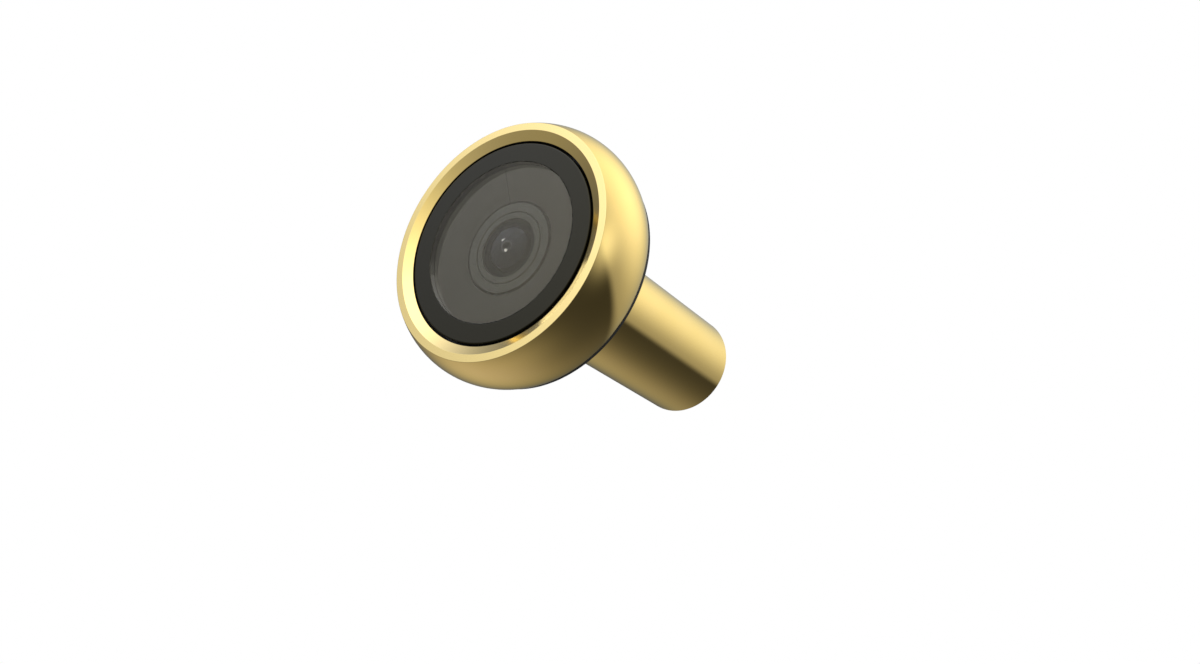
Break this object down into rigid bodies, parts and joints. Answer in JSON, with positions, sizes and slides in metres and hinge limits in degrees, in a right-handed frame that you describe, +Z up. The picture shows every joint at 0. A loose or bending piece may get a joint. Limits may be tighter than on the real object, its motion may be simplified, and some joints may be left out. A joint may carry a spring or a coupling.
{
  "type": "door viewer",
  "caption": "Outdoor half of a camera door viewer: round metal head with a black-ringed clear window over a wide-angle lens, a door gasket and a tubular barrel for the door hole.",
  "frame": {"origin": "on the barrel's axis, in the plane where the gasket's rear face meets the door", "axes": "+Y along the barrel into the door, the window faces -Y, +Z up with the shroud's seam at the top"},
  "size_m": [0.032, 0.0447, 0.032],
  "materials": {
    "gold_metal": "polished gold plating",
    "ring_black": "gloss black",
    "window_clear": "clear",
    "lens_clear": "coated clear",
    "filter_clear": "coated clear",
    "camera_black": "matt black moulding",
    "lens_metal": "black anodised",
    "seal_rubber": "matt black",
    "screw_steel": "plain",
    "board_green": "lacquered board",
    "chip_black": "moulded",
    "socket_white": "moulded",
    "pin_brass": "plated"
  },
  "bodies": {
    "housing": {"head_shell": "gold_metal", "window_ring": "ring_black", "window_glass": "window_clear", "window_seal": "seal_rubber", "ring_screws": "screw_steel", "lens_shroud": "camera_black", "lens_holder": "camera_black", "holder_screws": "screw_steel", "ir_filter": "filter_clear", "image_sensor": "chip_black", "sensor_board": "board_green", "board_chips": "chip_black", "board_screws": "screw_steel", "cable_socket": "socket_white", "socket_pins": "pin_brass", "rear_cover": "gold_metal", "cover_seal": "seal_rubber", "cover_screws": "screw_steel", "barrel": "gold_metal", "lock_washer": "screw_steel", "barrel_nut": "screw_steel", "door_gasket": "seal_rubber"},
    "lens": {"lens_barrel": "lens_metal", "lens_retainer": "lens_metal", "front_lens": "lens_clear", "front_spacer": "lens_metal", "second_lens": "lens_clear", "aperture_stop": "lens_metal", "third_lens": "lens_clear", "rear_spacer": "lens_metal", "rear_lens": "lens_clear"}
  },
  "joints": [
    {"name": "lens_focus", "type": "hinge", "parent": "housing", "child": "lens", "pos_m": [0, 0, 0], "axis": [0, 1, 0], "range_deg": [-90, 90]}
  ]
}
